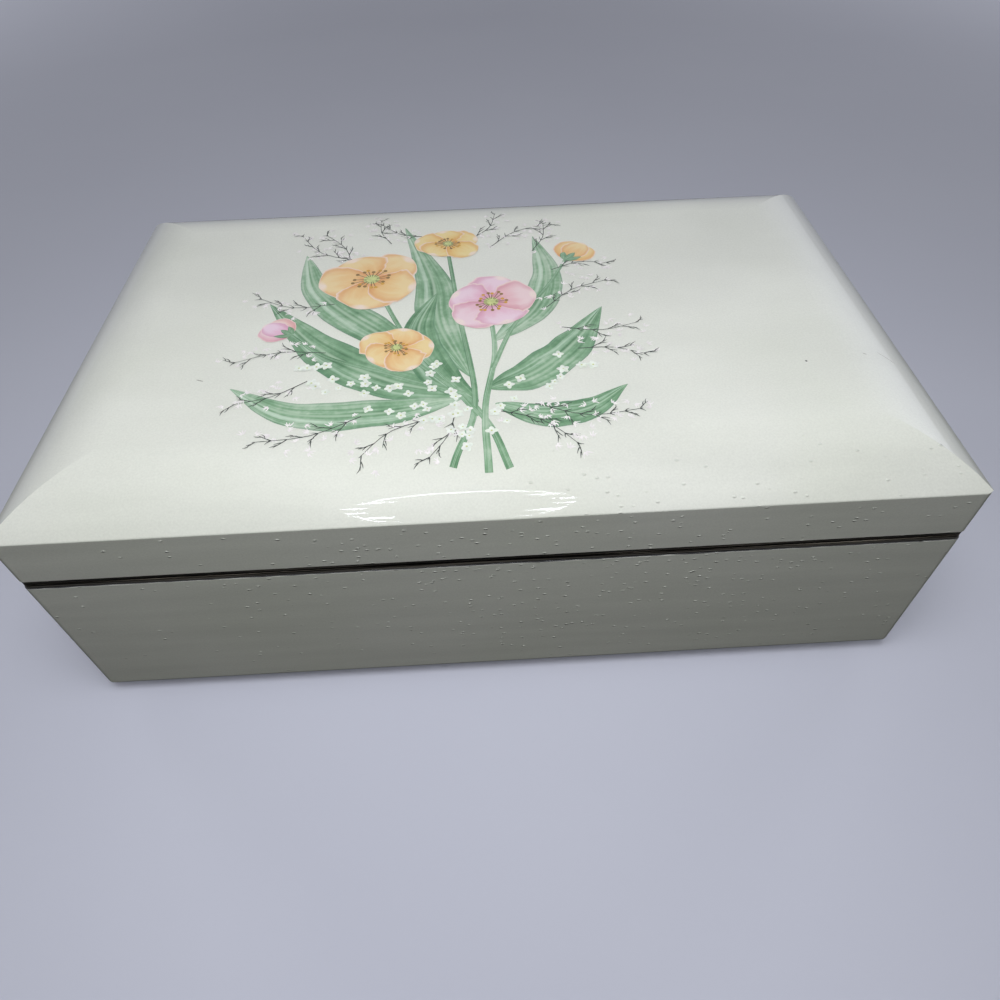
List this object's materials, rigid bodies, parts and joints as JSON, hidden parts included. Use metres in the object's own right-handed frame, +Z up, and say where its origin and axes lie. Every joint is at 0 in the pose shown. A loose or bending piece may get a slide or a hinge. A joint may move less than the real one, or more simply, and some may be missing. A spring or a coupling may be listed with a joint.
{
  "type": "musical jewelry box",
  "caption": "Lacquered wooden jewelry box with a crowned hinged lid, looking glass, velvet-lined compartments, ring rolls and a wind-up cylinder musical movement.",
  "frame": {"origin": "middle of the footprint, hinges included, at the level that the feet stand on", "axes": "+X along the length to the right, +Y towards the hinged back, +Z up; the front faces -Y"},
  "size_m": [0.28, 0.1798, 0.0947],
  "materials": {
    "white_lacquer": "gloss sprayed lacquer",
    "black_lacquer": "semi-gloss lacquer",
    "plywood": "bare sanded ply",
    "foot_plastic": "moulded satin",
    "zinc_plated_steel": "bright zinc plate",
    "brass": "polished",
    "velvet": "short velvet pile",
    "satin": "woven satin",
    "mirror_glass": "silvered plate",
    "gilt_trim": "embossed gilt",
    "cast_zinc": "as cast",
    "spring_steel": "ground",
    "brake_nylon": "moulded",
    "clear_acrylic": "clear sheet"
  },
  "bodies": {
    "case": {"bedplate": "cast_zinc", "body_back": "white_lacquer", "body_front": "white_lacquer", "body_left": "white_lacquer", "body_right": "white_lacquer", "body_rim": "black_lacquer", "bottom_board": "plywood", "comb": "spring_steel", "comb_screws": "zinc_plated_steel", "cover_ledges": "plywood", "floor_lining": "velvet", "foot_back_left": "foot_plastic", "foot_back_right": "foot_plastic", "foot_blocks": "plywood", "foot_front_left": "foot_plastic", "foot_front_right": "foot_plastic", "foot_screws": "zinc_plated_steel", "governor_bridge": "brass", "hinge_body_screws": "brass", "hinge_left_body_leaf": "brass", "hinge_pins": "brass", "hinge_right_body_leaf": "brass", "lining_long": "velvet", "lining_short": "velvet", "mainspring": "spring_steel", "movement_screws": "zinc_plated_steel", "music_cover": "clear_acrylic", "partition_long": "velvet", "partition_music": "velvet", "partition_short": "velvet", "partition_side": "velvet", "ring_roll_1": "velvet", "ring_roll_2": "velvet", "ring_roll_3": "velvet", "ring_roll_4": "velvet", "spring_housing": "brass", "stop_guide": "brass", "train_bearings": "brass"},
    "lid": {"glass_trim": "gilt_trim", "hinge_left_lid_leaf": "brass", "hinge_lid_screws": "brass", "hinge_right_lid_leaf": "brass", "lid_back": "white_lacquer", "lid_front": "white_lacquer", "lid_left": "white_lacquer", "lid_panel": "satin", "lid_right": "white_lacquer", "lid_rim": "black_lacquer", "lid_top": "white_lacquer", "looking_glass": "mirror_glass", "stop_pad": "velvet"},
    "winding": {"winding_arbor": "brass", "winding_key": "brass"},
    "cylinder": {"pinned_cylinder": "brass", "cylinder_arbor": "brass"},
    "train": {"governor_wheel": "brass"},
    "fly": {"governor_worm": "spring_steel", "air_brake": "brake_nylon"},
    "stop": {"stop_rod": "zinc_plated_steel"}
  },
  "joints": [
    {"name": "lid_hinge", "type": "hinge", "parent": "case", "child": "lid", "pos_m": [0, 0.08709, 0.06623], "axis": [-1, 0, 0], "range_deg": [0, 95]},
    {"name": "winding_spin", "type": "hinge", "parent": "case", "child": "winding", "pos_m": [0.084, 0.04659, 0.03063], "axis": [0, 0, 1], "continuous": true},
    {"name": "cylinder_spin", "type": "hinge", "parent": "case", "child": "cylinder", "pos_m": [0.104, 0.04659, 0.03063], "axis": [1, 0, 0], "continuous": true},
    {"name": "train_spin", "type": "hinge", "parent": "case", "child": "train", "pos_m": [0.1199, 0.05411, 0.03337], "axis": [1, 0, 0], "continuous": true},
    {"name": "fly_spin", "type": "hinge", "parent": "case", "child": "fly", "pos_m": [0.1199, 0.06021, 0.03337], "axis": [0, 0, 1], "continuous": true},
    {"name": "stop_rise", "type": "slide", "parent": "case", "child": "stop", "axis": [0, 0, 1], "range_m": [0, 0.004]}
  ],
  "couplings": [
    {"joint": "cylinder_spin", "follows": "winding_spin", "ratio": 3},
    {"joint": "train_spin", "follows": "winding_spin", "ratio": -9},
    {"joint": "fly_spin", "follows": "winding_spin", "ratio": 108},
    {"joint": "stop_rise", "follows": "lid_hinge", "m_per_rad": 0.002411}
  ]
}
